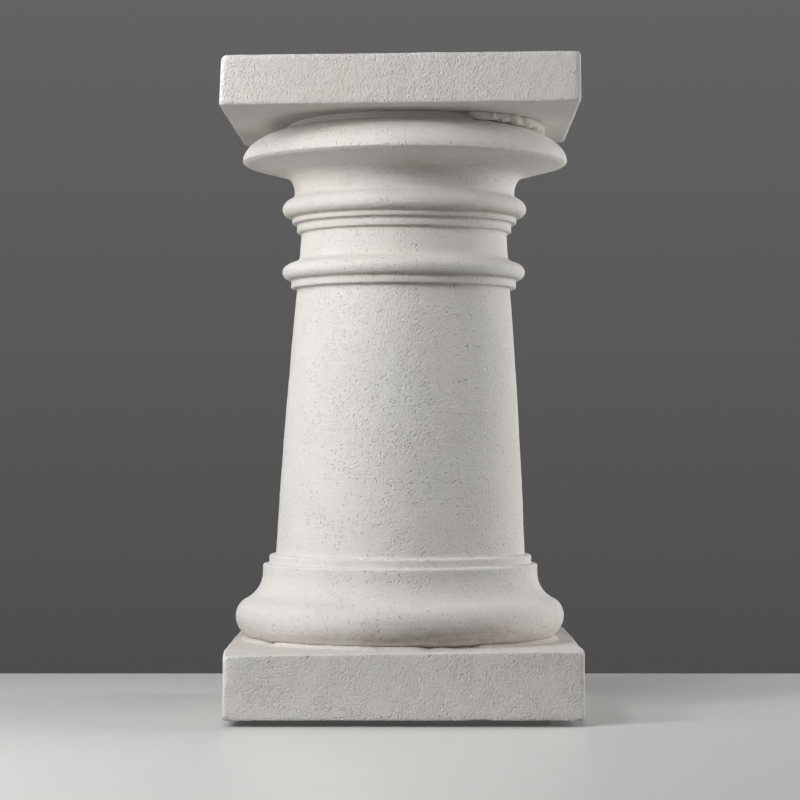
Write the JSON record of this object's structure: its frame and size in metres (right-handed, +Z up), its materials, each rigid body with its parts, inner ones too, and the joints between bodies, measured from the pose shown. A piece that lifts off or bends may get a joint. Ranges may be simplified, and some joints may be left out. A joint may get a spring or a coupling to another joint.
{
  "type": "doric column",
  "caption": "Short unfluted plaster column: square plinth, turned base, tapering shaft, ringed neck, capital and a square abacus slab that can carry a display piece.",
  "frame": {"origin": "middle of the plinth's underside", "axes": "+Z up the column, X and Y along the plinth's sides, -Y the front as pictured"},
  "size_m": [0.2464, 0.246, 0.4557],
  "materials": {
    "plinth_plaster": "dry cast plaster, matte, finely pitted, with soft worn edges and a faint warm soiling",
    "column_plaster": "dry run plaster, matte, with faint turning lines, pinholes and warm dirt in the grooves",
    "abacus_plaster": "dry cast plaster, matte, finely pitted, with soft worn edges"
  },
  "bodies": {
    "root": {"plinth": "plinth_plaster", "column": "column_plaster", "abacus": "abacus_plaster"}
  },
  "joints": []
}
